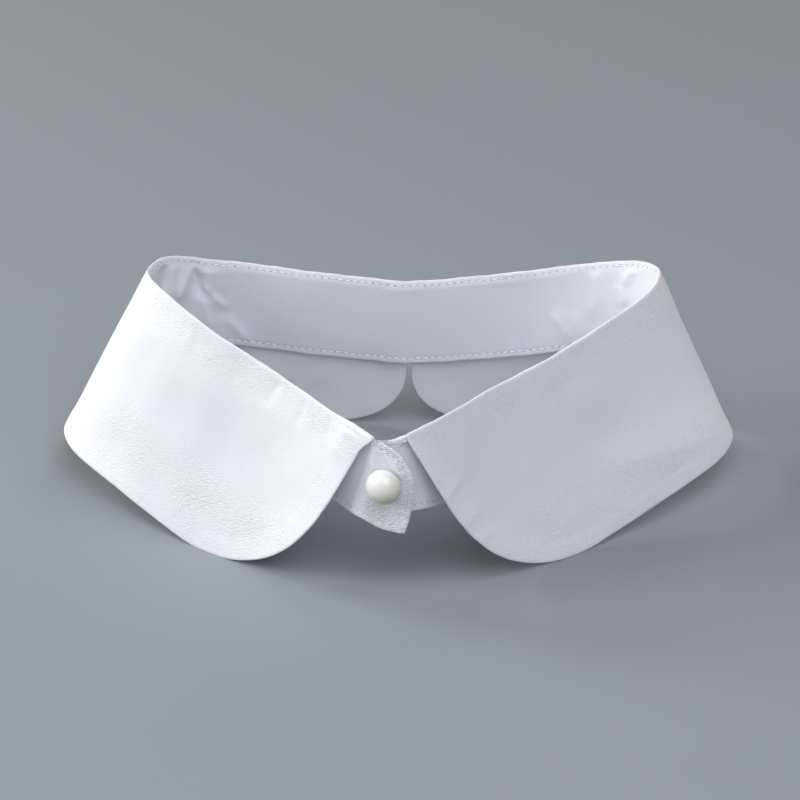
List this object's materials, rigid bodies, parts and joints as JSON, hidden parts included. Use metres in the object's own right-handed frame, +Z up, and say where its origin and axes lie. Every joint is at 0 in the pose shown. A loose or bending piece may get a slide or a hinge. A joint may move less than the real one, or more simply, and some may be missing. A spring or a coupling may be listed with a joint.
{
  "type": "detachable collar",
  "caption": "Detachable cotton collar: a standing neck band with two wide rounded leaves folded down over it, closed in front by overlapping tabs and a pearl button.",
  "frame": {"origin": "middle of the collar's bounding box, on the surface that the collar stands on", "axes": "+Z up; the wearer's front, with the button, towards -Y; +X to the right of someone who faces that front"},
  "size_m": [0.2016, 0.1046, 0.0722],
  "materials": {
    "band_cotton": "white plain-weave cotton, topstitched",
    "leaf_cotton": "white plain-weave cotton, pressed",
    "pearl": "pearlised gloss"
  },
  "bodies": {
    "root": {"neck_band": "band_cotton", "leaf_left": "leaf_cotton", "leaf_right": "leaf_cotton", "pearl_button": "pearl"}
  },
  "joints": []
}
